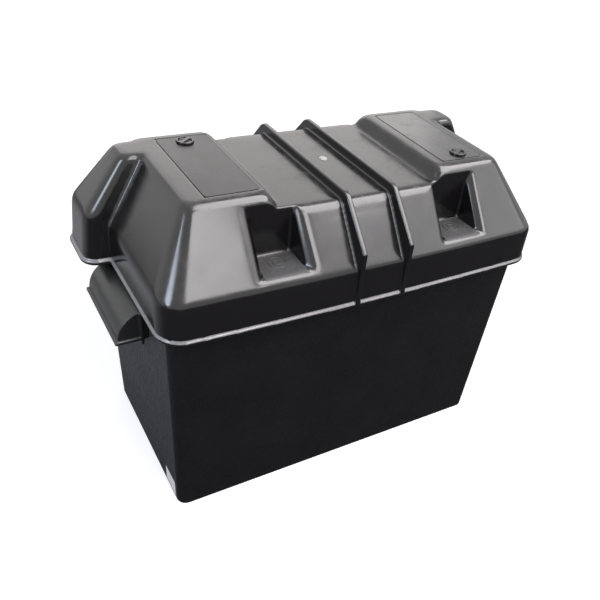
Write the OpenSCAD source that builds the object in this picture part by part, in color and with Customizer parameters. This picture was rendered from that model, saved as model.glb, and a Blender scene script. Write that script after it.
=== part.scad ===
// Battery box: an open moulded tub with a grip at each end, a removable
// divider, and a lift-off lid with two raised ends, two cable outlets, four
// corner pockets, a strap channel between two ribs and two turn-in vent plugs.
// X runs along the length, Y across, Z up. The origin is the middle of the base.

/* [Tub] */
// Outside length of the tub at its base
base_l = 340; // [300:1:380]
// Outside width of the tub at its base
base_w = 179; // [160:1:200]
// Height of the tub's top edge
tub_h = 210; // [185:1:240]
// Slope of the tub's walls away from upright, in degrees
draft = 1; // [0.5:0.1:2]
// Corner radius of the tub at its base
base_r = 9; // [6:1:14]
// Wall thickness of the tub and the lid
wall = 3; // [2.4:0.1:4]
// How far the top flange stands out past the long sides
flange_side = 6.8; // [4:0.1:10]
// How far the top flange stands out past the ends
flange_end = 2; // [1.5:0.1:5]
// Thickness of the top flange
flange_t = 2.5; // [2:0.1:4]
// Height of the ribs that keep the battery off the floor
floor_rib_h = 3; // [2:0.5:6]

/* [Grips] */
// Length of each grip along the end wall
grip_w = 84; // [76:1:110]
// Distance from the middle of the tub to the middle of each grip
grip_y = -2.5; // [-6:0.5:6]
// Radius of the grip's quarter-round hood
grip_r = 25.5; // [20:0.5:32]
// Thickness of the hood and its end plates
grip_t = 3; // [2.5:0.1:4]
// Distance from the lid's lower edge down to the top of the hood
grip_drop = 4; // [2:0.5:10]
// How far the lip stands out past the hood
lip_out = 2.5; // [2:0.5:5]

/* [Divider] */
// Height of the divider
divider_h = 110; // [80:1:120]
// Thickness of the divider
divider_t = 3; // [2.5:0.1:4]
// Distance from the middle of the tub to the divider
divider_x = 96; // [70:1:120]
// Clearance of the divider in its guides and beside the walls
divider_gap = 0.4; // [0.3:0.1:1]
// How far the guides stand in from the side walls
guide_in = 5; // [4:0.5:8]
// Thickness of each guide
guide_t = 2.5; // [2:0.1:4]

/* [Lid] */
// Height of the lid's upright skirt
skirt_h = 33.5; // [28:0.5:42]
// How far the skirt reaches down past the tub's top edge
lap = 10.5; // [8:0.5:16]
// Clearance between the skirt and the tub's flange
fit_gap = 1; // [0.6:0.1:2]
// Clearance under the ribs that the lid rests on
seat_gap = 0.2; // [0.1:0.05:0.4]
// Height of the raised ends above the skirt
crown_h = 55.7; // [45:0.1:65]
// How far the ends of the lid lean in over that height
lean_end = 33.7; // [26:0.1:42]
// How far the long sides of the lid lean in over that height
lean_side = 41.5; // [34:0.1:50]
// Depth of the middle of the lid below its raised ends
mid_drop = 11; // [7:0.5:14]
// Half length of the lowered middle at its floor
mid_half = 74; // [66:1:84]
// How far each step leans back over its height
step_lean = 5; // [2:0.5:9]
// Outward bow of the long sides at the rim
bow = 3; // [0:0.5:4]
// Corner radius of the skirt
lid_r = 20; // [18:1:26]
// Corner radius of the raised ends at the top
crown_r = 8; // [6:0.5:12]
// Length of the rounding along each face at the top edges
top_round = 5; // [3:0.5:6]
// Length of the rounding along each face at the skirt's top edge
skirt_round = 4; // [2:0.5:5]
// Height of the rounded bead round the rim
bead_h = 5; // [4:0.5:7]
// How far the bead stands out past the skirt
bead_out = 2.2; // [1.5:0.1:3]

/* [Cable outlets] */
// How far each outlet stands out past the end of the lid
outlet_out = 17; // [13:0.5:22]
// Extra flare of the outlet at the rim
outlet_flare = 4.5; // [2:0.5:7]
// Distance from the middle of the lid to the outlet's front wall
outlet_y = 24; // [18:1:36]
// Width of the outlet at the rim
outlet_w = 55; // [46:1:60]
// How much taller the outlet's upright wall is than the skirt
outlet_rise = 9; // [4:0.5:14]
// How much further out the right outlet's top edge lies than the left one's
outlet_more = 5; // [0:0.5:6]

/* [Pockets] */
// Left pockets, middle along the length
pocket_left = -80.5; // [-84:0.5:-78]
// Right pockets, middle along the length
pocket_right = 91; // [88:0.5:94]
// Width of a pocket between its side walls
pocket_w = 37; // [30:0.5:42]
// Width of the bevel at each side of a pocket's mouth
pocket_bevel = 5; // [3:0.5:6]
// Height of a pocket's floor above the top of the skirt
pocket_floor = 6; // [4:0.5:12]
// Distance from the middle of the lid to a pocket's back wall
pocket_back = 66.5; // [64:0.5:72]
// Length of the rounding along each face at a pocket's front lip
lip_round = 4; // [2:0.5:6]

/* [Strap ribs] */
// Left rib, middle along the length
rib_left = -18.5; // [-26:0.5:-14]
// Right rib, middle along the length
rib_right = 26.5; // [18:0.5:32]
// Thickness of a rib
rib_t = 4.5; // [3:0.1:6]
// Height of a rib above the middle of the lid
rib_h = 7.5; // [5:0.5:9]
// Height of a rib's pointed corner above the top of the skirt
rib_corner = 16.5; // [10:0.5:22]

/* [Vent plugs] */
// Left plug, along the length
plug_left = -106; // [-110:0.5:-102]
// Right plug, along the length
plug_right = 115; // [108:0.5:118]
// Distance from the middle of the lid to each plug across
plug_y = 43; // [38:0.5:46]
// Diameter of a plug's cap
plug_d = 14.5; // [13:0.5:18]
// Height of a plug's cap
plug_h = 2.4; // [2:0.1:4]
// Diameter of the hole that a plug turns in
plug_hole = 10; // [8:0.5:10.5]
// Clearance round a plug's shank, on the radius
plug_fit = 0.05; // [0.03:0.01:0.08]

/* [Label recesses] */
// Left recess, middle along the length
label_left = -106; // [-108:0.5:-104]
// Right recess, middle along the length
label_right = 112; // [108:0.5:113]
// Width of a label recess
label_w = 45; // [36:0.5:46]
// Length of a label recess
label_l = 109; // [96:0.5:110]
// Depth of a label recess
panel_depth = 0.7; // [0.4:0.1:1]

/* [Hidden] */
tub_colour = [0.13, 0.13, 0.14];
lid_colour = [0.20, 0.19, 0.20];
corner_n = 8;
side_n = 8;
round_n = 4;
over = 1;
slit = 0.2;
near = 0.06;

// The tub's half sizes grow with height by the draft
grow = tub_h * tan(draft);
tub_hl = base_l / 2 + grow;
tub_hw = base_w / 2 + grow;
flange_hl = tub_hl + flange_end;
flange_hw = tub_hw + flange_side;
floor_top = wall;

// The lid's skirt clears the flange all round
lid_hl = flange_hl + fit_gap + wall;
lid_hw = flange_hw + fit_gap + wall;
rim_z = tub_h - lap;
skirt_z = rim_z + skirt_h;
crown_z = skirt_z + crown_h;
mid_z = crown_z - mid_drop;
side_slope = atan(crown_h / lean_side);
outlet_r = 12;
outlet_lean = 4;
mid_share = (mid_z - skirt_z) / crown_h;
step_bottom = mid_half - step_lean * (mid_z - skirt_z) / mid_drop;

// How far an inner face moves where two outer faces turn by an angle
turn_low = tan((90 - side_slope) / 2);
turn_top = tan(side_slope / 2);

grip_z = rim_z - grip_drop - grip_r;
grip_wall_x = base_l / 2 + grip_z * tan(draft);
grip_post = 4.5;
pocket_z = skirt_z + pocket_floor;

// A section is [x0, x1, y0, y1, corner radius, z]
function even(hl, hw, r, z) = [-hl, hl, -hw, hw, r, z];
function blend(a, b, t) = a + (b - a) * t;
function gap(a, b) = norm([a[1] - b[1], a[3] - b[3], a[5] - b[5]]);
function toward(a, b, reach) = blend(a, b, reach / gap(a, b));

// Rounds the edge at section b in n steps, where a surface turns from a to c
function turn(a, b, c, reach, n) =
    let (p = toward(b, a, reach), q = toward(b, c, reach))
    [for (i = [0:n])
        let (t = i / n)
        (1 - t) * (1 - t) * p + 2 * t * (1 - t) * b + t * t * q];

// The hollow inside takes fewer steps than the outside
function steps(g) = g > 0 ? 2 : round_n;

// One corner of a ring, as an arc that starts at angle a
function arc(cx, cy, r, a, z) =
    [for (i = [0:corner_n])
        [cx + r * cos(a + 90 * i / corner_n), cy + r * sin(a + 90 * i / corner_n), z]];

// The points of a long side between its corners, bowed out by b
function side(xa, xb, y, b, z, n) =
    n < 2 ? [] :
    [for (i = [1:n - 1])
        let (t = i / n)
        [blend(xa, xb, t), y + b * 4 * t * (1 - t), z]];

// A rounded rectangle as a ring of points, its long sides bowed out by b
function ring(s, b, n) =
    let (r = s[4], z = s[5])
    concat(
        arc(s[1] - r, s[3] - r, r, 0, z),
        side(s[1] - r, s[0] + r, s[3], b, z, n),
        arc(s[0] + r, s[3] - r, r, 90, z),
        arc(s[0] + r, s[2] + r, r, 180, z),
        side(s[0] + r, s[1] - r, s[2], -b, z, n),
        arc(s[1] - r, s[2] + r, r, 270, z));

// A solid through a list of sections, bowed by the matching list of bows
module loft(sections, bows) {
    along = max(bows) > 0 ? side_n : 1;
    rings = [for (i = [0:len(sections) - 1]) ring(sections[i], bows[i], along)];
    n = len(rings[0]);
    last = len(rings) - 1;
    sides = [for (k = [0:last - 1], i = [0:n - 1])
        let (j = (i + 1) % n, a = k * n + i, b = k * n + j)
        each [[a, b + n, b], [a, a + n, b + n]]];
    base = [for (i = [0:n - 1]) i];
    top = [for (i = [n - 1:-1:0]) last * n + i];
    polyhedron([for (g = rings) each g], concat([base], sides, [top]), convexity = 6);
}

module straight_loft(sections) loft(sections, [for (s = sections) 0]);

module both_sides() {
    children();
    mirror([0, 1, 0]) children();
}

// ---- Tub ----

// Half size of the tub's outside at a height
function tub_at(half, z) = half + z * tan(draft);

module tub_block(inset, z0, z1) {
    straight_loft([for (z = [z0, z1])
        even(tub_at(base_l / 2, z) - inset, tub_at(base_w / 2, z) - inset, base_r - inset / 2, z)]);
}

module tub_flange() {
    straight_loft([for (s = [[flange_t, 1.2], [flange_t - 0.6, 0], [0.6, 0], [0, 0.8]])
        even(flange_hl - s[1], flange_hw - s[1], lid_r - wall - fit_gap - s[1], tub_h - s[0])]);
}

// Two upright guides on each side wall hold an edge of the divider
module guides(x) {
    slot = divider_t + 2 * divider_gap;
    for (sx = [-1, 1])
        both_sides()
            translate([x + sx * (slot + guide_t) / 2 - guide_t / 2,
                       base_w / 2 - wall - guide_in, over])
                cube([guide_t, guide_in + wall + grow, divider_h]);
}

module floor_ribs() {
    rib_l = base_l - 2 * wall - 2 * base_r;
    for (y = [-1.5, -0.5, 0.5, 1.5])
        translate([-rib_l / 2, y * base_w / 4 - guide_t / 2, over])
            cube([rib_l, guide_t, floor_top + floor_rib_h - over]);
}

module tub() {
    color(tub_colour) {
        difference() {
            union() {
                tub_block(0, 0, tub_h);
                tub_flange();
            }
            tub_block(wall, floor_top, tub_h + over);
        }
        intersection() {
            tub_block(wall / 2, slit, tub_h - over);
            union() {
                guides(divider_x);
                guides(-divider_x);
                floor_ribs();
            }
        }
    }
}

// ---- Grips ----

// Everything on the outer side of the drafted end wall
module beyond_end_wall() {
    reach = 2 * grip_r;
    translate([base_l / 2, -grip_w, 0])
        rotate([0, draft, 0])
            cube([reach, 2 * grip_w, tub_h]);
}

module quarter_round(r, w) {
    intersection() {
        translate([grip_wall_x, w / 2, grip_z])
            rotate([90, 0, 0])
                cylinder(r = r, h = w, $fn = 64);
        translate([grip_wall_x - over, -w, grip_z])
            cube([r + 2 * over, 2 * w, r + over]);
    }
}

// The lip runs round the open lower edge of the hood, as far as the end posts
module grip_lip() {
    post_x = grip_wall_x + grip_post;
    difference() {
        union() {
            translate([post_x, -grip_w / 2 - lip_out / 2, grip_z - grip_t])
                cube([grip_r + lip_out - grip_post, grip_w + lip_out, grip_t]);
            translate([grip_wall_x - over, -grip_w / 2, grip_z - grip_t])
                cube([grip_post + 2 * over, grip_w, grip_t + over]);
        }
        translate([grip_wall_x - 2 * over, -grip_w / 2 + grip_t, grip_z - 2 * grip_t])
            cube([grip_r - grip_t + 2 * over, grip_w - 2 * grip_t, 4 * grip_t]);
    }
}

// An upright rib stiffens each end plate beside the wall
module grip_posts() {
    both_sides()
        translate([grip_wall_x + grip_post, -grip_w / 2 - lip_out / 2, grip_z - 2.5 * grip_t])
            cube([guide_t, lip_out / 2 + grip_t / 2, grip_r + 2 * grip_t]);
}

module grip() {
    color(tub_colour)
        intersection() {
            beyond_end_wall();
            union() {
                difference() {
                    quarter_round(grip_r, grip_w);
                    quarter_round(grip_r - grip_t, grip_w - 2 * grip_t);
                    translate([grip_wall_x - over, -grip_w / 2 + grip_t, grip_z - over])
                        cube([grip_r - grip_t + over, grip_w - 2 * grip_t, over + slit]);
                }
                grip_lip();
                grip_posts();
            }
        }
}

module grip_right() translate([0, grip_y, 0]) grip();

module grip_left() mirror([1, 0, 0]) grip_right();

// ---- Divider ----

// The divider's edges follow the drafted walls
module divider_outline(inset) {
    low = floor_top + floor_rib_h + divider_gap;
    high = low + divider_h;
    half_low = tub_at(base_w / 2, low) - wall - divider_gap - inset;
    half_high = tub_at(base_w / 2, high) - wall - divider_gap - inset;
    polygon([[-half_low, low + inset], [half_low, low + inset],
             [half_high, high - inset], [-half_high, high - inset]]);
}

module divider() {
    finger_d = 26;
    finger_z = floor_top + floor_rib_h + divider_h - 22;
    color(tub_colour)
        translate([divider_x + divider_t / 2, 0, 0])
            rotate([90, 0, -90])
                linear_extrude(height = divider_t)
                    difference() {
                        divider_outline(0);
                        for (x = [-base_w / 5, base_w / 5])
                            translate([x, finger_z]) circle(d = finger_d, $fn = 48);
                    }
}

// ---- Lid ----

// Half sizes of the lid at a share of the way up its slopes, set in by g
function slope_hl(share, g) = lid_hl - lean_end * share - g;
function slope_hw(share, g) = lid_hw - lean_side * share - g;
function radius_at(share, g) = max(blend(lid_r, crown_r, share) - g, 3);

// Where the lid's outer form starts, inside the bead, and where the hollow starts
function foot_z(g) = g > 0 ? rim_z - g : rim_z + bead_h / 2;

// The long sides bow outward at the rim, and the bow fades out up the slopes
function bow_share(z) = max(0, min(1, (mid_z - top_round - z) / (mid_z - top_round - rim_z)));
function bow_at(x, z) = bow * bow_share(z) * max(0, 1 - pow(x / (lid_hl - lid_r), 2));

// The whole lid as if it were as high in the middle as at its ends
module full_form(g) {
    foot = even(lid_hl - g + 0.5, lid_hw - g + 0.5, radius_at(0, g), foot_z(g));
    knee = even(slope_hl(0, g), slope_hw(0, g), radius_at(0, g), skirt_z - g * turn_low);
    edge = even(slope_hl(1, g * turn_top), slope_hw(1, g * turn_top), radius_at(1, g),
                crown_z - g);
    flat = even(edge[1] - 2 * top_round, edge[3] - 2 * top_round, 4, crown_z - g);
    fade = toward(edge, knee, gap(edge, knee) * (crown_z - mid_z + top_round) / crown_h);
    sections = concat([foot], turn(foot, knee, edge, skirt_round, steps(g)), [fade],
                      turn(knee, edge, flat, top_round, steps(g)), [flat]);
    loft(sections, [for (s = sections) bow * bow_share(s[5])]);
}

// One raised end with its step towards the middle, from inside the skirt up
module raised_end(g) {
    knee = [step_bottom + g, slope_hl(0, g), -slope_hw(0, g), slope_hw(0, g),
            radius_at(0, g), skirt_z - g * turn_low];
    edge = [mid_half + step_lean + g, slope_hl(1, g * turn_top),
            -slope_hw(1, g * turn_top), slope_hw(1, g * turn_top), radius_at(1, g), crown_z - g];
    flat = edge + [2 * top_round, -2 * top_round, 2 * top_round, -2 * top_round, -1, 0];
    straight_loft(concat([knee], turn(knee, edge, flat, top_round, steps(g)), [flat]));
}

// The lowered middle in side view, with rolled edges along both long sides
module middle_block(g) {
    top_z = mid_z - g;
    top_y = slope_hw(mid_share, g * turn_top);
    down = [cos(side_slope), -sin(side_slope)];
    far = 4 * top_round;
    half = concat(bezier2([top_y - top_round, top_z], [top_y, top_z],
                          [top_y + near, top_z] + down * top_round, steps(g)),
                  [[top_y + near, top_z] + down * far]);
    translate([-lid_hl, 0, 0])
        rotate([90, 0, 90])
            linear_extrude(height = 2 * lid_hl)
                polygon(concat(half, [for (i = [len(half) - 1:-1:0]) [-half[i][0], half[i][1]]]));
}

// What the lowered middle leaves out between the raised ends
module valley(g) {
    difference() {
        translate([-lid_hl, -lid_hw, mid_z - 2 * top_round])
            cube([2 * lid_hl, 2 * lid_hw, crown_h]);
        for (m = [0, 1])
            mirror([m, 0, 0]) raised_end(g - near);
        middle_block(g);
    }
}

// A cable outlet, open below, towards the back of an end; its top is longer by more
module outlet(g, more) {
    inner = lid_hl - 2 * lean_end;
    far = outlet_y + outlet_w;
    foot = [inner, lid_hl + outlet_out + outlet_flare - g, outlet_y + g, far - g,
            outlet_r - g, foot_z(g)];
    knee = [inner, slope_hl(0, g) + outlet_out, outlet_y + g, far - g,
            outlet_r - g, skirt_z + outlet_rise - g * turn_low];
    edge = [inner, slope_hl(1, g * turn_top) + outlet_out + more, outlet_y + outlet_lean + g,
            slope_hw(1, g * turn_top) - outlet_lean, radius_at(1, g), crown_z - g];
    flat = edge + [0, -2 * top_round, 2 * top_round, -2 * top_round, -1, 0];
    straight_loft(concat([foot], turn(foot, knee, edge, skirt_round, steps(g)),
                         turn(knee, edge, flat, top_round, steps(g)), [flat]));
}

// The lid's whole outer form, or with g above 0 the hollow inside it
module lid_form(g) {
    difference() {
        full_form(g);
        valley(g);
    }
    outlet(g, outlet_more);
    mirror([1, 0, 0]) outlet(g, 0);
}

// A full bead, as a stack of sections with a round outer edge
module bead(x0, x1, y0, y1, r, b) {
    sections = [for (i = [0:6])
        let (a = -90 + 30 * i, out = bead_h / 2 * (1 - cos(a)) + (abs(a) > 80 ? 1 : 0))
        [x0 + out, x1 - out, y0 + out, y1 - out, r - out, rim_z + bead_h / 2 * (1 + sin(a))]];
    loft(sections, [for (s = sections) b]);
}

module rim_bead() {
    hl = lid_hl + bead_out;
    hw = lid_hw + bead_out;
    bead(-hl, hl, -hw, hw, lid_r + bead_out, bow);
    for (m = [0, 1])
        mirror([m, 0, 0])
            bead(lid_hl - 2 * lean_end, lid_hl + outlet_out + outlet_flare + bead_out,
                 outlet_y - bead_out, outlet_y + outlet_w + bead_out, outlet_r + bead_out, 0);
}

// Puts its children on a long slope: X along, Y up the slope, Z outward
module on_slope() {
    translate([0, -lid_hw, skirt_z])
        rotate([side_slope, 0, 0])
            children();
}

function bezier2(a, b, c, n) =
    [for (i = [0:n]) let (t = i / n) (1 - t) * (1 - t) * a + 2 * t * (1 - t) * b + t * t * c];

// Side view of a pocket in Y and Z, set back by g; the front is open
module pocket_profile(x, g) {
    yb = -pocket_back + g;
    zf = pocket_z - g;
    up = [cos(side_slope), sin(side_slope)];
    face_y = lid_hw + bow_at(x, pocket_z) + near;
    lip = [-face_y + pocket_floor / tan(side_slope), pocket_z];
    out = -lid_hw - 4 * wall;
    high = crown_z + 4 * wall;
    floor_edge = lip + [lip_round, 0];
    slope_edge = lip - up * lip_round;
    front = g > 0
        ? [[out, zf]]
        : concat(bezier2(floor_edge, lip, slope_edge, round_n), [[out, slope_edge[1]]]);
    polygon(concat(bezier2([yb, zf + wall], [yb, zf], [yb - wall, zf], round_n), front,
                   [[out, high], [yb, high]]));
}

// A pocket in the front slope: straight side walls with a bevelled mouth
module pocket(x, g) {
    half = pocket_w / 2 + g;
    wide = half + pocket_bevel;
    deep = pocket_bevel + g / 2;
    proud = wall;
    intersection() {
        translate([x - 2 * wide, 0, 0])
            rotate([90, 0, 90])
                linear_extrude(height = 4 * wide) pocket_profile(x, g);
        union() {
            translate([x - half, -2 * lid_hw, pocket_z - 2 * wall])
                cube([2 * half, 2 * lid_hw, crown_h + 4 * wall]);
            on_slope()
                translate([x, 2 * crown_h, 0])
                    rotate([90, 0, 0])
                        linear_extrude(height = 3 * crown_h)
                            polygon([[-half, -deep], [half, -deep],
                                     [wide + proud, proud], [-wide - proud, proud]]);
        }
    }
}

module pockets(g) {
    for (x = [pocket_left, pocket_right])
        both_sides() pocket(x, g);
}

// Side view of a strap rib: level on top, down the slope, upright to the bead
module rib_profile() {
    foot_y = lid_hw + bead_out + bow + 0.5;
    top_z = mid_z + rib_h;
    top_y = slope_hw(mid_share, 0) + rib_h * turn_top;
    corner_z = skirt_z + rib_corner;
    half = concat([[foot_y, rim_z + bead_h / 2], [foot_y, corner_z]],
                  bezier2([top_y + top_round, top_z - top_round * (top_z - corner_z) / (foot_y - top_y)],
                          [top_y, top_z], [top_y - top_round, top_z], round_n));
    polygon(concat(half, [for (i = [len(half) - 1:-1:0]) [-half[i][0], half[i][1]]]));
}

module strap_ribs() {
    for (x = [rib_left, rib_right])
        translate([x - rib_t / 2, 0, 0])
            rotate([90, 0, 90])
                linear_extrude(height = rib_t) rib_profile();
}

// Short ribs inside the skirt, whose feet rest on the tub's flange
module seat_ribs() {
    foot_z = tub_h + seat_gap;
    rib_top = skirt_z - turn_low * wall - over;
    side_in = flange_side + fit_gap;
    end_in = flange_end + wall + fit_gap;
    intersection() {
        full_form(wall / 2);
        union() {
            for (x = [-0.88, -0.27, 0.27, 0.88])
                both_sides()
                    translate([x * mid_half * 2 - guide_t / 2, lid_hw - wall - side_in, foot_z])
                        cube([guide_t, side_in + wall, rib_top - foot_z]);
            for (m = [0, 1], y = [-0.7, -0.1])
                mirror([m, 0, 0])
                    translate([lid_hl - wall - end_in, y * lid_hw - guide_t / 2, foot_z])
                        cube([end_in + wall, guide_t, rib_top - foot_z]);
        }
    }
}

// The plugs sit towards the back of the left end and the front of the right one
module at_right_plug() translate([plug_right, -plug_y, crown_z]) children();

module at_left_plug() translate([plug_left, plug_y, crown_z]) rotate([0, 0, 180]) children();

// A shallow label recess on each raised end
module label_recess() {
    for (x = [label_left, label_right])
        translate([x - label_w / 2, -label_l / 2, crown_z - panel_depth])
            cube([label_w, label_l, panel_depth + over]);
}

module plug_bore() {
    translate([0, 0, -4 * wall])
        cylinder(d = plug_hole, h = 8 * wall, $fn = 64);
}

// The moulded skin: the outer form less the hollow, which goes round the pockets
module lid_skin() {
    difference() {
        union() {
            lid_form(0);
            rim_bead();
            strap_ribs();
        }
        difference() {
            lid_form(wall);
            pockets(wall);
        }
        pockets(0);
        label_recess();
    }
    seat_ribs();
}

module lid() {
    color(lid_colour)
        difference() {
            resize([0, 0, crown_z - rim_z]) lid_skin();
            at_right_plug() plug_bore();
            at_left_plug() plug_bore();
        }
}

// ---- Vent plugs ----

// A cap with a grip bar between two crescents, and a shank with a snap collar
module vent_plug() {
    seat = -panel_depth;
    shank_r = plug_hole / 2 - plug_fit;
    under = seat - (wall - panel_depth) - 0.3;
    bar = 3.4;
    color(lid_colour) {
        difference() {
            union() {
                translate([0, 0, seat + 0.1]) cylinder(d = plug_d, h = plug_h, $fn = 64);
                translate([0, 0, under - 2]) cylinder(r = shank_r, h = 2 - under + seat + 0.2, $fn = 64);
                translate([0, 0, under - 2]) cylinder(r = shank_r + 0.8, h = 2, $fn = 64);
            }
            translate([0, 0, under - 3]) cylinder(r = shank_r - 2, h = 3 - under, $fn = 64);
            intersection() {
                translate([0, 0, seat + plug_h / 2]) cylinder(d = plug_d - 3, h = plug_h, $fn = 64);
                for (s = [-1, 1])
                    translate([s * (bar / 2 + plug_d / 2) - plug_d / 2, -plug_d, 0])
                        cube([plug_d, 2 * plug_d, plug_h]);
            }
        }
    }
}

module vent_plug_right() at_right_plug() rotate([0, 0, -50]) vent_plug();

module vent_plug_left() at_left_plug() rotate([0, 0, -50]) vent_plug();

tub();
grip_left();
grip_right();
divider();
lid();
vent_plug_left();
vent_plug_right();
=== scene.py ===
import math

import bmesh
import bpy
import numpy
from mathutils import Matrix, Vector


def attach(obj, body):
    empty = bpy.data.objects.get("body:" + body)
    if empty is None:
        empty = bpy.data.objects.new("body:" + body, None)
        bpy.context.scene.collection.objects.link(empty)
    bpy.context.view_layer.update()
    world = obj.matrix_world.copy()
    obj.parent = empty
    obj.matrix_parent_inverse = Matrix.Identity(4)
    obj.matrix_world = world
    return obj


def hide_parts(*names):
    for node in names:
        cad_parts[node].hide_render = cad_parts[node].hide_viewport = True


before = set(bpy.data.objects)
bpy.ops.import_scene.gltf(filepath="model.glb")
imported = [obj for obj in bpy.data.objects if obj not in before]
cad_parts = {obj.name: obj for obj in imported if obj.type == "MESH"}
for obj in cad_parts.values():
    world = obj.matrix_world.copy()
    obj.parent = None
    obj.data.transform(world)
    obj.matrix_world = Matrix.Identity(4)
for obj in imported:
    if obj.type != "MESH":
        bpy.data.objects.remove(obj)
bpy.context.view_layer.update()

# ---- Camera ----
# A hand-held camera stands left of the box's front and looks down on its lid.
# Its place, turn and shift are those that fit the photograph.
camera_at = Vector((-0.29097, -0.46518, 0.51114))
camera_right = Vector((0.85967, -0.49970, 0.10612))
camera_up = Vector((0.24922, 0.59159, 0.76675))
camera_back = camera_right.cross(camera_up)
camera_data = bpy.data.cameras.new("camera")
camera_data.sensor_width = 36.0
camera_data.lens = 39.735
camera_data.shift_x = -0.04825
camera_data.shift_y = 0.0931
camera = bpy.data.objects.new("camera", camera_data)
bpy.context.scene.collection.objects.link(camera)
camera_turn = Matrix((camera_right, camera_up, camera_back)).transposed()
camera.matrix_world = Matrix.Translation(camera_at) @ camera_turn.to_4x4()
bpy.context.scene.camera = camera

# ---- Studio ----
# A pale floor in a soft grey room, with four softboxes, and a card over the
# lid that only its gloss shows. The background is white, and the floor keeps
# the box's shadow.
bpy.context.scene.view_settings.view_transform = "Standard"

world = bpy.data.worlds.new("studio_air")
bpy.context.scene.world = world
world.use_nodes = True
air = world.node_tree
air.nodes.clear()
air_out = air.nodes.new("ShaderNodeOutputWorld")
air_mix = air.nodes.new("ShaderNodeMixShader")
air_room = air.nodes.new("ShaderNodeBackground")
air_room.inputs["Color"].default_value = (0.98, 0.99, 1.0, 1.0)
air_room.inputs["Strength"].default_value = 0.30
air_white = air.nodes.new("ShaderNodeBackground")
air_white.inputs["Color"].default_value = (1.0, 1.0, 1.0, 1.0)
air_white.inputs["Strength"].default_value = 1.0
air_path = air.nodes.new("ShaderNodeLightPath")
air_seen = air.nodes.new("ShaderNodeMath")
air_seen.operation = "MAXIMUM"
air_seen_glossy = air.nodes.new("ShaderNodeMath")
air_seen_glossy.operation = "MAXIMUM"
air.links.new(air_path.outputs["Is Camera Ray"], air_seen.inputs[0])
air.links.new(air_path.outputs["Is Transmission Ray"], air_seen.inputs[1])
air.links.new(air_seen.outputs["Value"], air_seen_glossy.inputs[0])
air.links.new(air_path.outputs["Is Glossy Ray"], air_seen_glossy.inputs[1])
air.links.new(air_seen_glossy.outputs["Value"], air_mix.inputs["Fac"])
air.links.new(air_room.outputs["Background"], air_mix.inputs[1])
air.links.new(air_white.outputs["Background"], air_mix.inputs[2])
air.links.new(air_mix.outputs["Shader"], air_out.inputs["Surface"])


def softbox(name, toward, away, width, height, radiance, colour):
    """A rectangular lamp that faces the lid from away metres off."""
    lamp_data = bpy.data.lights.new(name, "AREA")
    lamp_data.shape = "RECTANGLE"
    lamp_data.size = width
    lamp_data.size_y = height
    lamp_data.energy = radiance * math.pi * width * height
    lamp_data.color = colour
    lamp = bpy.data.objects.new(name, lamp_data)
    bpy.context.scene.collection.objects.link(lamp)
    lid_middle = Vector((0.0, 0.0, 0.22))
    lamp.location = lid_middle + Vector(toward).normalized() * away
    lamp.rotation_euler = (lid_middle - lamp.location).to_track_quat("-Z", "Y").to_euler()
    return lamp


softbox("softbox_front", (0.10, -0.72, 0.68), away=2.2, width=1.0, height=1.0,
        radiance=7.0, colour=(1.0, 0.965, 0.975))
softbox("softbox_left", (-0.85, -0.20, 0.50), away=2.2, width=0.7, height=0.9,
        radiance=10.0, colour=(0.74, 0.84, 1.0))
softbox("softbox_right", (0.70, -0.55, 0.46), away=2.4, width=1.6, height=1.2,
        radiance=2.1, colour=(1.0, 0.98, 1.0))
softbox("softbox_back", (0.30, 0.86, 0.42), away=2.4, width=2.0, height=1.3,
        radiance=1.0, colour=(1.0, 0.93, 0.92))
ceiling_card = softbox("ceiling_card", (0.42, -0.18, 0.88), away=2.2, width=1.9, height=1.8,
                       radiance=7.5, colour=(1.0, 0.96, 0.975))
ceiling_card.visible_diffuse = False

# To the camera the floor glows, more so far out, and so fades into the white
# background. In the gloss it is a plain grey with painted shade, darker in front of the box.
bpy.ops.object.select_all(action="DESELECT")
bpy.ops.mesh.primitive_plane_add(size=12.0, location=(0.0, 0.0, 0.0))
floor = bpy.context.active_object
floor.name = "studio_floor"
floor_paint = bpy.data.materials.new("floor_paint")
floor_paint.use_nodes = True
floor_tree = floor_paint.node_tree
floor_tree.nodes.clear()
floor_out = floor_tree.nodes.new("ShaderNodeOutputMaterial")
floor_matt = floor_tree.nodes.new("ShaderNodeBsdfDiffuse")
floor_matt.inputs["Color"].default_value = (0.80, 0.80, 0.80, 1.0)
floor_grey = floor_tree.nodes.new("ShaderNodeBsdfDiffuse")
floor_glow = floor_tree.nodes.new("ShaderNodeEmission")
floor_glow.inputs["Color"].default_value = (1.0, 1.0, 1.0, 1.0)
floor_place = floor_tree.nodes.new("ShaderNodeTexCoord")
floor_reach = floor_tree.nodes.new("ShaderNodeVectorMath")
floor_reach.operation = "LENGTH"
floor_fill = floor_tree.nodes.new("ShaderNodeMapRange")
floor_fill.inputs["From Min"].default_value = 0.8
floor_fill.inputs["From Max"].default_value = 3.5
floor_fill.inputs["To Min"].default_value = 0.60
floor_fill.inputs["To Max"].default_value = 0.92
floor_tree.links.new(floor_place.outputs["Object"], floor_reach.inputs[0])
floor_tree.links.new(floor_reach.outputs["Value"], floor_fill.inputs["Value"])
floor_tree.links.new(floor_fill.outputs["Result"], floor_glow.inputs["Strength"])
floor_split = floor_tree.nodes.new("ShaderNodeSeparateXYZ")
# Painted shade: the floor as seen in the gloss darkens towards the front of the box.
floor_painted_shade = floor_tree.nodes.new("ShaderNodeMapRange")
floor_painted_shade.inputs["From Min"].default_value = -0.10
floor_painted_shade.inputs["From Max"].default_value = 0.30
floor_painted_shade.inputs["To Min"].default_value = 0.10
floor_painted_shade.inputs["To Max"].default_value = 0.60
floor_tree.links.new(floor_place.outputs["Object"], floor_split.inputs["Vector"])
floor_tree.links.new(floor_split.outputs["Y"], floor_painted_shade.inputs["Value"])
floor_tree.links.new(floor_painted_shade.outputs["Result"], floor_grey.inputs["Color"])
floor_sum = floor_tree.nodes.new("ShaderNodeAddShader")
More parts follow.
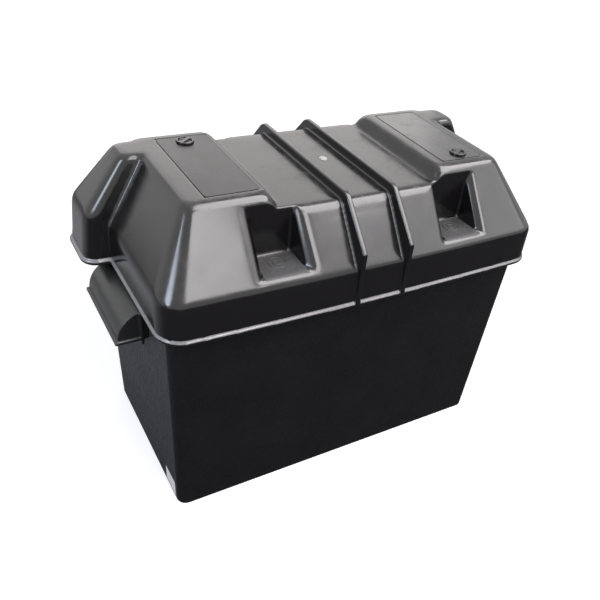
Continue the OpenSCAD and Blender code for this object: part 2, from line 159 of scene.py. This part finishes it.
floor_seen = floor_tree.nodes.new("ShaderNodeMixShader")
floor_mirrored = floor_tree.nodes.new("ShaderNodeMixShader")
floor_path = floor_tree.nodes.new("ShaderNodeLightPath")
floor_tree.links.new(floor_matt.outputs["BSDF"], floor_sum.inputs[0])
floor_tree.links.new(floor_glow.outputs["Emission"], floor_sum.inputs[1])
floor_tree.links.new(floor_path.outputs["Is Camera Ray"], floor_seen.inputs["Fac"])
floor_tree.links.new(floor_matt.outputs["BSDF"], floor_seen.inputs[1])
floor_tree.links.new(floor_sum.outputs["Shader"], floor_seen.inputs[2])
floor_tree.links.new(floor_path.outputs["Is Glossy Ray"], floor_mirrored.inputs["Fac"])
floor_tree.links.new(floor_seen.outputs["Shader"], floor_mirrored.inputs[1])
floor_tree.links.new(floor_grey.outputs["BSDF"], floor_mirrored.inputs[2])
floor_tree.links.new(floor_mirrored.outputs["Shader"], floor_out.inputs["Surface"])
floor.data.materials.append(floor_paint)

# ---- Tub ----
# The open tub is one injection moulding in black polypropylene, with drafted
# walls and a flange that the lid's ribs rest on. Its grain is spark-eroded and
# coarser on the end walls, which are painted paler as painted light for the
# light that falls on them.
weld = 0.00002
# An edge is rolled when it turns by more than sharp, unless it is a tight fold.
sharp = math.radians(32.0)
tight_fold = 2.1


def moulding(node, name, radius, steps):
    """A welded copy of a CAD node's mesh with its hard edges rolled to radius."""
    piece = bpy.data.objects.new(name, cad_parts[node].data.copy())
    piece.data.materials.clear()
    bpy.context.scene.collection.objects.link(piece)
    bpy.ops.object.select_all(action="DESELECT")
    piece.select_set(True)
    bpy.context.view_layer.objects.active = piece
    bpy.ops.object.mode_set(mode="EDIT")
    bpy.ops.mesh.select_mode(type="EDGE")
    bpy.ops.mesh.select_all(action="SELECT")
    bpy.ops.mesh.remove_doubles(threshold=weld)
    bpy.ops.mesh.dissolve_limited(angle_limit=math.radians(0.2))
    bpy.ops.mesh.select_all(action="DESELECT")
    bpy.ops.mesh.edges_select_sharp(sharpness=sharp)
    shell = bmesh.from_edit_mesh(piece.data)
    for edge in shell.edges:
        if edge.select and abs(edge.calc_face_angle(0.0)) > tight_fold:
            edge.select = False
    bmesh.update_edit_mesh(piece.data)
    bpy.ops.mesh.bevel(offset=radius, segments=steps, affect="EDGES", clamp_overlap=False)
    bpy.ops.object.mode_set(mode="OBJECT")
    bpy.ops.object.shade_smooth_by_angle(angle=math.radians(44.0))
    even = piece.modifiers.new("even_shading", "WEIGHTED_NORMAL")
    even.keep_sharp = True
    bpy.ops.object.modifier_apply(modifier=even.name)
    return piece


dust_colour = (0.20, 0.18, 0.165, 1.0)


def black_plastic(name, colour, roughness, gloss, grain_size, grain_depth, mottle, wave_depth,
                  dust):
    """Black polypropylene. The grain's pitch and both depths are in metres.

    Mottle spreads the colour over the grain, and dust settles on level faces.
    """
    skin = bpy.data.materials.new(name)
    skin.use_nodes = True
    tree = skin.node_tree
    shader = tree.nodes["Principled BSDF"]
    shader.inputs["Specular IOR Level"].default_value = gloss
    place = tree.nodes.new("ShaderNodeTexCoord")
    grain = tree.nodes.new("ShaderNodeTexNoise")
    grain.inputs["Scale"].default_value = 1.0 / grain_size
    grain.inputs["Detail"].default_value = 3.0
    grain.inputs["Roughness"].default_value = 0.6
    patch = tree.nodes.new("ShaderNodeTexNoise")
    patch.inputs["Scale"].default_value = 22.0
    patch.inputs["Detail"].default_value = 4.0
    tree.links.new(place.outputs["Object"], grain.inputs["Vector"])
    tree.links.new(place.outputs["Object"], patch.inputs["Vector"])
    # The grain mottles the colour.
    shade = tree.nodes.new("ShaderNodeMapRange")
    shade.inputs["From Min"].default_value = 0.3
    shade.inputs["From Max"].default_value = 0.7
    shade.inputs["To Min"].default_value = 1.0 - mottle
    shade.inputs["To Max"].default_value = 1.0 + mottle
    tree.links.new(grain.outputs["Fac"], shade.inputs["Value"])
    tint = tree.nodes.new("ShaderNodeMix")
    tint.data_type = "RGBA"
    tint.blend_type = "MULTIPLY"
    tint.inputs[0].default_value = 1.0
    tint.inputs[6].default_value = colour
    tree.links.new(shade.outputs["Result"], tint.inputs[7])
    # Dust settles in patches on the faces that look up.
    surface = tree.nodes.new("ShaderNodeNewGeometry")
    lean = tree.nodes.new("ShaderNodeSeparateXYZ")
    level = tree.nodes.new("ShaderNodeMapRange")
    level.inputs["From Min"].default_value = 0.35
    level.inputs["From Max"].default_value = 1.0
    tree.links.new(surface.outputs["Normal"], lean.inputs["Vector"])
    tree.links.new(lean.outputs["Z"], level.inputs["Value"])
    fall = tree.nodes.new("ShaderNodeTexNoise")
    fall.inputs["Scale"].default_value = 48.0
    fall.inputs["Detail"].default_value = 9.0
    fall.inputs["Roughness"].default_value = 0.78
    tree.links.new(place.outputs["Object"], fall.inputs["Vector"])
    film = tree.nodes.new("ShaderNodeMapRange")
    film.inputs["From Min"].default_value = 0.46
    film.inputs["From Max"].default_value = 0.72
    film.inputs["To Max"].default_value = dust
    tree.links.new(fall.outputs["Fac"], film.inputs["Value"])
    settled = tree.nodes.new("ShaderNodeMath")
    settled.operation = "MULTIPLY"
    tree.links.new(level.outputs["Result"], settled.inputs[0])
    tree.links.new(film.outputs["Result"], settled.inputs[1])
    dusty = tree.nodes.new("ShaderNodeMix")
    dusty.data_type = "RGBA"
    dusty.inputs[7].default_value = dust_colour
    tree.links.new(settled.outputs["Value"], dusty.inputs[0])
    tree.links.new(tint.outputs[2], dusty.inputs[6])
    tree.links.new(dusty.outputs[2], shader.inputs["Base Color"])
    # Handling leaves broad patches duller or brighter, and dust dulls them all.
    rub = tree.nodes.new("ShaderNodeMapRange")
    rub.inputs["From Min"].default_value = 0.3
    rub.inputs["From Max"].default_value = 0.7
    rub.inputs["To Min"].default_value = roughness * 0.9
    rub.inputs["To Max"].default_value = roughness * 1.12
    tree.links.new(patch.outputs["Fac"], rub.inputs["Value"])
    duller = tree.nodes.new("ShaderNodeMath")
    duller.operation = "ADD"
    tree.links.new(rub.outputs["Result"], duller.inputs[0])
    tree.links.new(settled.outputs["Value"], duller.inputs[1])
    tree.links.new(duller.outputs["Value"], shader.inputs["Roughness"])
    # The grain stands on a skin that waves slowly, as thin mouldings do.
    grain_bump = tree.nodes.new("ShaderNodeBump")
    grain_bump.inputs["Strength"].default_value = 1.0
    grain_bump.inputs["Distance"].default_value = grain_depth
    tree.links.new(grain.outputs["Fac"], grain_bump.inputs["Height"])
    wave = tree.nodes.new("ShaderNodeTexNoise")
    wave.inputs["Scale"].default_value = 14.0
    wave.inputs["Detail"].default_value = 1.0
    tree.links.new(place.outputs["Object"], wave.inputs["Vector"])
    wave_bump = tree.nodes.new("ShaderNodeBump")
    wave_bump.inputs["Strength"].default_value = 1.0
    wave_bump.inputs["Distance"].default_value = wave_depth
    tree.links.new(wave.outputs["Fac"], wave_bump.inputs["Height"])
    tree.links.new(grain_bump.outputs["Normal"], wave_bump.inputs["Normal"])
    tree.links.new(wave_bump.outputs["Normal"], shader.inputs["Normal"])
    return skin


tub_plastic = black_plastic("grained_black", (0.005, 0.005, 0.007, 1.0), roughness=0.50,
                            gloss=0.34, grain_size=0.0034, grain_depth=0.00045, mottle=0.35,
                            wave_depth=0.0004, dust=0.0)
# The end walls' copy is paler as painted light for the light that falls on them; its coarser grain
# is real.
end_wall_painted_light_plastic = black_plastic("coarse_grained_painted_light_black", (0.030, 0.031, 0.034, 1.0), roughness=0.50,
                            gloss=0.35, grain_size=0.0042, grain_depth=0.00150, mottle=0.45,
                            wave_depth=0.0004, dust=0.0)
tub_shell = moulding("tub", "tub_shell", radius=0.0008, steps=2)
tub_shell.data.materials.append(tub_plastic)
tub_shell.data.materials.append(end_wall_painted_light_plastic)
end_wall_x = 0.169
end_wall_top = 0.2
# The faces of the end walls take the paler painted light.
for face in tub_shell.data.polygons:
    faces_end = abs(face.normal.x) > 0.97
    if faces_end and abs(face.center.x) > end_wall_x and face.center.z < end_wall_top:
        face.material_index = 1
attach(tub_shell, "tub")
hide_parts("tub")

# ---- Grips ----
# A quarter-round hood at each end gives the fingers a hold. Each is moulded
# with the tub and is smoother than its walls.
grip_plastic = black_plastic("grip_black", (0.010, 0.010, 0.011, 1.0), roughness=0.30,
                             gloss=0.80, grain_size=0.0016, grain_depth=0.00004, mottle=0.15,
                             wave_depth=0.0006, dust=0.10)


def rolled_moulding(node, name, cell, passes, crisp, keep):
    """A welded copy of a CAD node whose corners roll as the passes go on.

    Each crisp box is its low corner, its high corner and the share of the
    rolling that it lets through. Keep is the share of the faces left at the end.
    """
    piece = bpy.data.objects.new(name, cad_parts[node].data.copy())
    piece.data.materials.clear()
    bpy.context.scene.collection.objects.link(piece)
    bpy.ops.object.select_all(action="DESELECT")
    piece.select_set(True)
    bpy.context.view_layer.objects.active = piece
    bpy.ops.object.mode_set(mode="EDIT")
    bpy.ops.mesh.select_all(action="SELECT")
    bpy.ops.mesh.remove_doubles(threshold=weld)
    bpy.ops.object.mode_set(mode="OBJECT")
    skin = piece.modifiers.new("even_skin", "REMESH")
    skin.mode = "VOXEL"
    skin.voxel_size = cell
    bpy.ops.object.modifier_apply(modifier=skin.name)
    places = numpy.empty(len(piece.data.vertices) * 3)
    piece.data.vertices.foreach_get("co", places)
    places = places.reshape(-1, 3)
    share = numpy.ones(len(places))
    for low, high, amount in crisp:
        inside = numpy.all((places >= low) & (places <= high), axis=1)
        share[inside] = amount
    soft = piece.vertex_groups.new(name="soft")
    for amount in numpy.unique(share):
        soft.add(numpy.flatnonzero(share == amount).tolist(), float(amount), "REPLACE")
    roll = piece.modifiers.new("rolled_corners", "SMOOTH")
    roll.factor = 0.5
    roll.iterations = passes
    roll.vertex_group = "soft"
    bpy.ops.object.modifier_apply(modifier=roll.name)
    thin = piece.modifiers.new("fewer_faces", "DECIMATE")
    thin.ratio = keep
    bpy.ops.object.modifier_apply(modifier=thin.name)
    bpy.ops.object.shade_smooth()
    return piece


for side in ("left", "right"):
    grip = rolled_moulding("grip_" + side, "grip_hood_" + side, cell=0.0006, passes=14,
                           crisp=(), keep=0.5)
    grip.data.materials.append(grip_plastic)
    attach(grip, "tub")
    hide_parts("grip_" + side)

# ---- Divider ----
# A loose plate of the tub's plastic stands in the guides inside the tub and
# holds a short battery in place. Two round holes take the fingers.
divider_plate = moulding("divider", "divider_plate", radius=0.0006, steps=2)
divider_plate.data.materials.append(tub_plastic)
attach(divider_plate, "divider")
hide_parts("divider")

# ---- Lid ----
# The lid is one glossy moulding with a 3 mm skin, set loose over the tub's
# flange. Its corners roll wide, and its ribs, pockets, recesses and bead stay
# crisp. The pockets' floors are painted paler as painted light, with dust in
# patches over it, and the bead's upper edge is painted pale as a painted highlight.
lid_plastic = black_plastic("gloss_black", (0.007, 0.006, 0.007, 1.0), roughness=0.17,
                            gloss=0.70, grain_size=0.0030, grain_depth=0.00001, mottle=0.06,
                            wave_depth=0.0006, dust=0.22)
# A paler copy of the black for the pockets' floors and rings: painted light for the light they
# reflect, with real dust patches on top.
pocket_painted_light_plastic = black_plastic("pocket_painted_light_black", (0.085, 0.083, 0.084, 1.0), roughness=0.50,
                              gloss=0.50, grain_size=0.0024, grain_depth=0.00012, mottle=0.30,
                              wave_depth=0.0004, dust=0.10)
# A pale, glossy copy for the bead's upper edge: a painted highlight that stands in for the bright
# line the overhead light draws there.
bead_painted_highlight_plastic = black_plastic("bead_painted_highlight_black", (0.22, 0.21, 0.22, 1.0), roughness=0.24,
                               gloss=1.0, grain_size=0.0030, grain_depth=0.00001, mottle=0.15,
                               wave_depth=0.0006, dust=0.0)
# Where the lid stays crisp, and the share of the rolling that is let through:
# the bead, the hidden inner wall, the pockets, the ribs, and the edges of the
# label recesses and of the plugs' bores.
far = 0.5
bead_top = 0.2100
bead_share = 0.02
inner_x = 0.1745
inner_y = 0.0995
inner_top = 0.2345
inner_share = 0.05
pocket_spans = ((-0.103, -0.058), (0.068, 0.114))
pocket_back = 0.060
pocket_low = 0.236
pocket_high = 0.2850
pocket_share = 0.25
rib_spans = ((-0.024, -0.013), (0.021, 0.032))
rib_low = 0.2
rib_share = 0.03
recess_x = {"left": -0.106, "right": 0.112}
recess_half_l = 0.0225
recess_half_w = 0.0545
recess_reach_l = 0.0245
recess_reach_w = 0.0565
recess_edge = 0.0018
recess_low = 0.2865
plug_places = {"left": (-0.106, 0.043), "right": (0.115, -0.043)}
plug_reach = 0.009
plug_low = 0.25
detail_share = 0.012
lid_crisp = [((-far, -far, 0.0), (far, far, bead_top), bead_share),
             ((-inner_x, -inner_y, 0.0), (inner_x, inner_y, inner_top), inner_share)]
for low_x, high_x in pocket_spans:
    lid_crisp.append(((low_x, -far, pocket_low), (high_x, -pocket_back, pocket_high),
                      pocket_share))
    lid_crisp.append(((low_x, pocket_back, pocket_low), (high_x, far, pocket_high),
                      pocket_share))
for low_x, high_x in rib_spans:
    lid_crisp.append(((low_x, -far, rib_low), (high_x, far, far), rib_share))
for side in ("left", "right"):
    middle = recess_x[side]
    for edge in (-recess_half_l, recess_half_l):
        lid_crisp.append(((middle + edge - recess_edge, -recess_reach_w, recess_low),
                          (middle + edge + recess_edge, recess_reach_w, far), detail_share))
    for edge in (-recess_half_w, recess_half_w):
        lid_crisp.append(((middle - recess_reach_l, edge - recess_edge, recess_low),
                          (middle + recess_reach_l, edge + recess_edge, far), detail_share))
    plug_x, plug_y = plug_places[side]
    lid_crisp.append(((plug_x - plug_reach, plug_y - plug_reach, plug_low),
                      (plug_x + plug_reach, plug_y + plug_reach, far), detail_share))
lid_shell = rolled_moulding("lid", "lid_shell", cell=0.0008, passes=110, crisp=lid_crisp, keep=0.14)
lid_shell.data.materials.append(lid_plastic)
lid_shell.data.materials.append(pocket_painted_light_plastic)
lid_shell.data.materials.append(bead_painted_highlight_plastic)
# The pockets' floors are painted paler as painted light, with dust in patches
# over it, and the bead's upper edge is painted pale as a painted highlight.
floor_spans = ((-0.0985, -0.0625), (0.073, 0.109))
floor_near = 0.0665
floor_far = 0.100
floor_top = 0.2415
floor_lean = 0.8
painted_highlight_x = 0.1745
painted_highlight_y = 0.0990
painted_highlight_low = 0.2015
painted_highlight_high = 0.2070
painted_highlight_lean = 0.25
for face in lid_shell.data.polygons:
    along, across, height = face.center
    in_span = any(low_x < along < high_x for low_x, high_x in floor_spans)
    on_floor = in_span and floor_near < abs(across) < floor_far and height < floor_top
    # The pockets' upward floor faces take the paler painted light.
    if on_floor and face.normal.z > floor_lean:
        face.material_index = 1
    # The bead's upward faces take the painted highlight.
    on_bead = (abs(across) > painted_highlight_y or abs(along) > painted_highlight_x) and painted_highlight_low < height < painted_highlight_high
    if on_bead and face.normal.z > painted_highlight_lean:
        face.material_index = 2
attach(lid_shell, "lid")
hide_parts("lid")

# ---- Pocket rings ----
# Each pocket's floor carries two raised rings, one inside the other, such as a
# mould's ejector pin leaves in the plastic.
ring_radii = (0.0072, 0.0030)
ring_bead = 0.0005
ring_z = 0.2391
ring_places = ((-0.0800, -0.0800), (0.0920, -0.0800), (-0.0800, 0.0800), (0.0920, 0.0800))
for number, (ring_x, ring_y) in enumerate(ring_places):
    rings = []
    for ring_radius in ring_radii:
        bpy.ops.object.select_all(action="DESELECT")
        bpy.ops.mesh.primitive_torus_add(major_radius=ring_radius, minor_radius=ring_bead,
                                         major_segments=48, minor_segments=10,
                                         location=(ring_x, ring_y, ring_z))
        ring = bpy.context.active_object
        bpy.ops.object.mode_set(mode="EDIT")
        bpy.ops.mesh.select_all(action="SELECT")
        bpy.ops.transform.resize(value=(1.0, 1.0, 0.8), center_override=(ring_x, ring_y, ring_z))
        bpy.ops.object.mode_set(mode="OBJECT")
        rings.append(ring)
    bpy.ops.object.select_all(action="DESELECT")
    for ring in rings:
        ring.select_set(True)
    bpy.context.view_layer.objects.active = rings[0]
    bpy.ops.object.join()
    mark = bpy.context.active_object
    mark.name = "pocket_rings_%d" % number
    bpy.ops.object.transform_apply(location=True, rotation=True, scale=True)
    bpy.ops.object.shade_smooth()
    # The rings take the floors' paler painted light.
    mark.data.materials.append(pocket_painted_light_plastic)
    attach(mark, "lid")

# ---- Label plates ----
# A thin bare plastic plate is stuck in each raised end's recess. It is duller
# on the left and brighter on the right, and is punched round the vent plug.
plate_finish = {
    "left": black_plastic("label_dull_black", (0.010, 0.009, 0.010, 1.0), roughness=0.28,
                          gloss=0.50, grain_size=0.0022, grain_depth=0.00003, mottle=0.10,
                          wave_depth=0.0004, dust=0.14),
    "right": black_plastic("label_bright_black", (0.014, 0.013, 0.013, 1.0), roughness=0.19,
                           gloss=0.95, grain_size=0.0022, grain_depth=0.00002, mottle=0.10,
                           wave_depth=0.0004, dust=0.20),
}
plate_size = (0.0432, 0.1072, 0.0006)
plate_z = 0.28840
plate_corner = 0.0030
plate_hole = 0.0077
for side in ("left", "right"):
    plug_x, plug_y = plug_places[side]
    bpy.ops.object.select_all(action="DESELECT")
    bpy.ops.mesh.primitive_cube_add(size=1.0, location=(recess_x[side], 0.0, plate_z))
    plate = bpy.context.active_object
    plate.name = "label_plate_" + side
    plate.scale = plate_size
    bpy.ops.object.transform_apply(location=True, rotation=True, scale=True)
    bpy.ops.object.mode_set(mode="EDIT")
    bpy.ops.mesh.select_mode(type="EDGE")
    bpy.ops.mesh.select_all(action="DESELECT")
    sheet = bmesh.from_edit_mesh(plate.data)
    for edge in sheet.edges:
        edge.select = abs(edge.verts[0].co.z - edge.verts[1].co.z) > plate_size[2] / 2.0
    bmesh.update_edit_mesh(plate.data)
    bpy.ops.mesh.bevel(offset=plate_corner, segments=6, affect="EDGES")
    bpy.ops.object.mode_set(mode="OBJECT")
    bpy.ops.object.select_all(action="DESELECT")
    bpy.ops.mesh.primitive_cylinder_add(vertices=64, radius=plate_hole, depth=0.004,
                                        location=(plug_x, plug_y, plate_z))
    punch = bpy.context.active_object
    bpy.ops.object.select_all(action="DESELECT")
    plate.select_set(True)
    bpy.context.view_layer.objects.active = plate
    punched = plate.modifiers.new("punched_hole", "BOOLEAN")
    punched.operation = "DIFFERENCE"
    punched.object = punch
    bpy.ops.object.modifier_apply(modifier=punched.name)
    bpy.data.objects.remove(punch)
    rim = plate.modifiers.new("rounded_rim", "BEVEL")
    rim.width = 0.00015
    rim.segments = 2
    rim.limit_method = "ANGLE"
    bpy.ops.object.modifier_apply(modifier=rim.name)
    bpy.ops.object.shade_smooth_by_angle(angle=math.radians(40.0))
    level = plate.modifiers.new("level_shading", "WEIGHTED_NORMAL")
    level.keep_sharp = True
    bpy.ops.object.modifier_apply(modifier=level.name)
    plate.data.materials.append(plate_finish[side])
    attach(plate, "lid")

# ---- Vent plugs ----
# A round polypropylene cap with a grip bar turns in its bore in each raised end
# of the lid. It is moulded in the lid's plastic and pushed in from above.
for side in ("left", "right"):
    plug = moulding("vent_plug_" + side, "vent_cap_" + side, radius=0.0005, steps=3)
    plug.data.materials.append(lid_plastic)
    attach(plug, "vent_plug_" + side)
    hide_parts("vent_plug_" + side)

# ---- Sticker ----
# A small blank sticker of white paper is stuck low on the left end wall and
# leans with its draft.
paper = bpy.data.materials.new("white_paper")
paper.use_nodes = True
paper_shader = paper.node_tree.nodes["Principled BSDF"]
paper_shader.inputs["Roughness"].default_value = 0.6
paper_shader.inputs["Specular IOR Level"].default_value = 0.3
paper_place = paper.node_tree.nodes.new("ShaderNodeTexCoord")
paper_fibre = paper.node_tree.nodes.new("ShaderNodeTexNoise")
paper_fibre.inputs["Scale"].default_value = 900.0
paper_fibre.inputs["Detail"].default_value = 3.0
paper_tone = paper.node_tree.nodes.new("ShaderNodeMix")
paper_tone.data_type = "RGBA"
paper_tone.inputs[6].default_value = (0.70, 0.66, 0.66, 1.0)
paper_tone.inputs[7].default_value = (0.84, 0.80, 0.79, 1.0)
paper.node_tree.links.new(paper_place.outputs["Object"], paper_fibre.inputs["Vector"])
paper.node_tree.links.new(paper_fibre.outputs["Fac"], paper_tone.inputs[0])
paper.node_tree.links.new(paper_tone.outputs[2], paper_shader.inputs["Base Color"])
sticker_middle = (-0.17035, -0.0665, 0.0125)
sticker_size = (0.00016, 0.0240, 0.0180)
wall_draft = math.radians(-1.0)
bpy.ops.object.select_all(action="DESELECT")
bpy.ops.mesh.primitive_cube_add(size=1.0, location=sticker_middle)
sticker = bpy.context.active_object
sticker.name = "blank_sticker"
sticker.scale = sticker_size
sticker.rotation_euler = (0.0, wall_draft, 0.0)
bpy.ops.object.transform_apply(location=True, rotation=True, scale=True)
bpy.ops.object.mode_set(mode="EDIT")
bpy.ops.mesh.select_mode(type="EDGE")
bpy.ops.mesh.select_all(action="DESELECT")
slip = bmesh.from_edit_mesh(sticker.data)
for edge in slip.edges:
    through = abs(edge.verts[0].co.x - edge.verts[1].co.x) > 0.0001
    edge.select = through and edge.calc_length() < 0.001
bmesh.update_edit_mesh(sticker.data)
bpy.ops.mesh.bevel(offset=0.0015, segments=5, affect="EDGES")
bpy.ops.object.mode_set(mode="OBJECT")
sticker.data.materials.append(paper)
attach(sticker, "tub")

# ---- Paper scrap ----
# A torn scrap of the same paper is left stuck to the lid's lowered middle. Its
# outline is a circle whose corners are pulled in or out, each by its own share.
scrap_x = 0.0044
scrap_y = 0.0030
scrap_z = 0.27795
pulls = (1.35, 0.95, 1.05, 0.60, 0.85, 1.00, 1.25, 1.10, 0.80, 0.70, 0.95, 0.75, 1.15)
bpy.ops.object.select_all(action="DESELECT")
bpy.ops.mesh.primitive_circle_add(vertices=len(pulls), radius=0.0036, fill_type="NGON",
                                  location=(scrap_x, scrap_y, scrap_z))
scrap = bpy.context.active_object
scrap.name = "paper_scrap"
bpy.ops.object.transform_apply(location=True, rotation=True, scale=True)
bpy.ops.object.mode_set(mode="EDIT")
bpy.ops.mesh.select_mode(type="VERT")
torn = bmesh.from_edit_mesh(scrap.data)
for corner, pull in zip(torn.verts, pulls):
    corner.co.x = scrap_x + (corner.co.x - scrap_x) * pull * 1.2
    corner.co.y = scrap_y + (corner.co.y - scrap_y) * pull
bmesh.update_edit_mesh(scrap.data)
bpy.ops.object.mode_set(mode="OBJECT")
thick = scrap.modifiers.new("thick", "SOLIDIFY")
thick.thickness = 0.0002
bpy.ops.object.modifier_apply(modifier=thick.name)
scrap.data.materials.append(paper)
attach(scrap, "lid")
